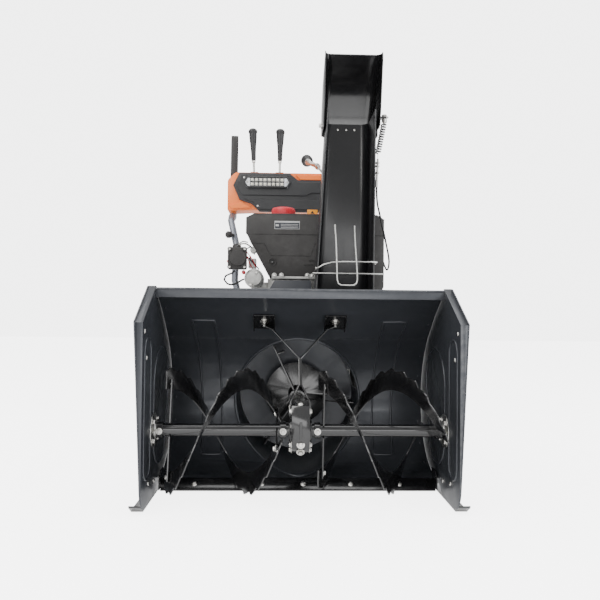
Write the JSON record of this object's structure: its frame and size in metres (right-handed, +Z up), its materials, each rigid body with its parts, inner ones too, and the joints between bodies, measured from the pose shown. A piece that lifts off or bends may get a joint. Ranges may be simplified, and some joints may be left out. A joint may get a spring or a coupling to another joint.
{
  "type": "snow blower",
  "caption": "Walk-behind two-stage snow blower with ribbon augers in a wide intake, an impeller, a turning discharge chute with a tilting deflector, an engine and a lever console.",
  "frame": {"origin": "on the ground, centred under the machine's box", "axes": "+X to the right of someone facing the intake, +Y from the intake to the handlebars, +Z up"},
  "size_m": [0.82, 1.4526, 1.282],
  "materials": {
    "housing_paint": "satin metallic anthracite paint",
    "gloss_black": "gloss black paint",
    "steel": "zinc plated",
    "cast": "cast aluminium",
    "chute_paint": "satin dark grey paint",
    "plastic_black": "moulded matt",
    "orange": "moulded satin",
    "fascia": "moulded matt",
    "red": "moulded satin",
    "amber": "moulded satin",
    "tube_grey": "satin grey paint",
    "rubber": "matt",
    "tyre": "matt",
    "lens": "clear over white",
    "cable": "satin",
    "knob": "moulded matt"
  },
  "bodies": {
    "chassis": {"auger_housing": "housing_paint", "side_plate_left": "housing_paint", "side_plate_right": "housing_paint", "impeller_housing": "housing_paint", "scraper_bar": "gloss_black", "skid_shoe_left": "gloss_black", "skid_shoe_right": "gloss_black", "auger_bearing_left": "steel", "auger_bearing_right": "steel", "gearbox_stay": "gloss_black", "auger_gearbox": "gloss_black", "tractor_frame": "gloss_black", "belt_cover": "plastic_black", "engine_block": "cast", "engine_shroud": "plastic_black", "electric_starter": "cast", "starter_switch_box": "plastic_black", "starter_cable": "cable", "muffler": "steel", "recoil_starter": "plastic_black", "handlebar_left": "tube_grey", "handlebar_right": "tube_grey", "grip_left": "rubber", "grip_right": "rubber", "console_body": "orange", "console_fascia": "fascia", "headlight": "lens", "auger_belt": "rubber", "drive_belt": "rubber", "chute_gear_head": "cast", "deflector_cable": "cable"},
    "auger": {"auger_left": "gloss_black", "auger_right": "gloss_black", "auger_shaft": "steel"},
    "impeller": {"impeller": "gloss_black", "impeller_shaft": "steel", "impeller_pulley": "steel"},
    "crankshaft": {"crank_pulley": "steel"},
    "drive_disc": {"drive_disc": "steel"},
    "friction_wheel": {"friction_wheel": "rubber"},
    "wheels": {"axle": "steel", "tyre_left": "tyre", "tyre_right": "tyre", "rim_left": "steel", "rim_right": "steel"},
    "chute": {"chute_collar": "gloss_black", "chute": "chute_paint", "chute_guard": "steel"},
    "deflector": {"chute_deflector": "gloss_black"},
    "chute_pinion": {"chute_pinion": "steel"},
    "chute_crank": {"chute_crank": "steel"},
    "fuel_cap": {"fuel_cap": "red"},
    "choke_knob": {"choke_knob": "amber"},
    "recoil_handle": {"recoil_handle": "knob"},
    "clutch_left": {"clutch_lever_left": "plastic_black"},
    "clutch_right": {"clutch_lever_right": "plastic_black"},
    "speed_lever": {"speed_lever": "steel", "speed_knob": "knob"},
    "deflector_lever": {"deflector_lever": "steel", "deflector_knob": "knob"}
  },
  "joints": [
    {"name": "auger_spin", "type": "hinge", "parent": "chassis", "child": "auger", "pos_m": [0, -0.5643, 0.182], "axis": [1, 0, 0], "continuous": true},
    {"name": "impeller_spin", "type": "hinge", "parent": "chassis", "child": "impeller", "pos_m": [0, -0.2973, 0.223], "axis": [0, 1, 0], "continuous": true},
    {"name": "engine_crank", "type": "hinge", "parent": "chassis", "child": "crankshaft", "pos_m": [0, -0.0973, 0.5], "axis": [0, 1, 0], "continuous": true},
    {"name": "drive_disc_spin", "type": "hinge", "parent": "chassis", "child": "drive_disc", "pos_m": [0, -0.0773, 0.31], "axis": [0, 1, 0], "continuous": true},
    {"name": "wheel_spin", "type": "hinge", "parent": "chassis", "child": "wheels", "pos_m": [0, 0.1527, 0.205], "axis": [1, 0, 0], "continuous": true},
    {"name": "friction_slide", "type": "slide", "parent": "chassis", "child": "friction_wheel", "axis": [1, 0, 0], "range_m": [-0.06, 0.02]},
    {"name": "speed_lever_tilt", "type": "hinge", "parent": "chassis", "child": "speed_lever", "pos_m": [-0.165, 0.3427, 0.96], "axis": [1, 0, 0], "range_deg": [-20, 10]},
    {"name": "chute_turn", "type": "hinge", "parent": "chassis", "child": "chute", "pos_m": [0.143, -0.2123, 0.48], "axis": [0, 0, 1], "range_deg": [-95, 95], "deforming": ["deflector_cable"]},
    {"name": "chute_pinion_turn", "type": "hinge", "parent": "chassis", "child": "chute_pinion", "pos_m": [0.1725, -0.1023, 0.48], "axis": [0, 0, 1], "range_deg": [-470, 470]},
    {"name": "chute_crank_turn", "type": "hinge", "parent": "chassis", "child": "chute_crank", "pos_m": [0.095, 0.4027, 1.105], "axis": [-0.1517, 0.8769, 0.4561], "range_deg": [-470, 470]},
    {"name": "deflector_tilt", "type": "hinge", "parent": "chute", "child": "deflector", "pos_m": [0.1618, -0.1973, 1.09], "axis": [1, 0, 0], "range_deg": [0, 50]},
    {"name": "deflector_lever_tilt", "type": "hinge", "parent": "chassis", "child": "deflector_lever", "pos_m": [-0.064, 0.3427, 0.96], "axis": [1, 0, 0], "range_deg": [0, 21]},
    {"name": "clutch_lever_left_squeeze", "type": "hinge", "parent": "chassis", "child": "clutch_left", "pos_m": [-0.255, 0.4027, 0.945], "axis": [1, 0, 0], "range_deg": [-72, 0], "stiffness_Nm_per_rad": 1, "springref_deg": 17.19},
    {"name": "clutch_lever_right_squeeze", "type": "hinge", "parent": "chassis", "child": "clutch_right", "pos_m": [0.255, 0.4027, 0.945], "axis": [1, 0, 0], "range_deg": [-72, 0], "stiffness_Nm_per_rad": 1, "springref_deg": 17.19},
    {"name": "fuel_cap_turn", "type": "hinge", "parent": "chassis", "child": "fuel_cap", "pos_m": [-0.047, -0.0173, 0.82], "axis": [0, 0, 1], "range_deg": [0, 90]},
    {"name": "choke_turn", "type": "hinge", "parent": "chassis", "child": "choke_knob", "pos_m": [0.054, -0.0173, 0.82], "axis": [0, 0, 1], "range_deg": [0, 90]},
    {"name": "recoil_pull", "type": "slide", "parent": "chassis", "child": "recoil_handle", "axis": [0, 1, 0], "range_m": [0, 0.3], "stiffness_N_per_m": 20, "springref_m": -0.05}
  ],
  "couplings": [
    {"joint": "impeller_spin", "follows": "auger_spin", "ratio": 10},
    {"joint": "speed_lever_tilt", "follows": "friction_slide", "rad_per_m": 5},
    {"joint": "chute_pinion_turn", "follows": "chute_turn", "ratio": -4.8705},
    {"joint": "chute_crank_turn", "follows": "chute_turn", "ratio": 4.8705},
    {"joint": "deflector_lever_tilt", "follows": "deflector_tilt", "ratio": 0.4}
  ]
}
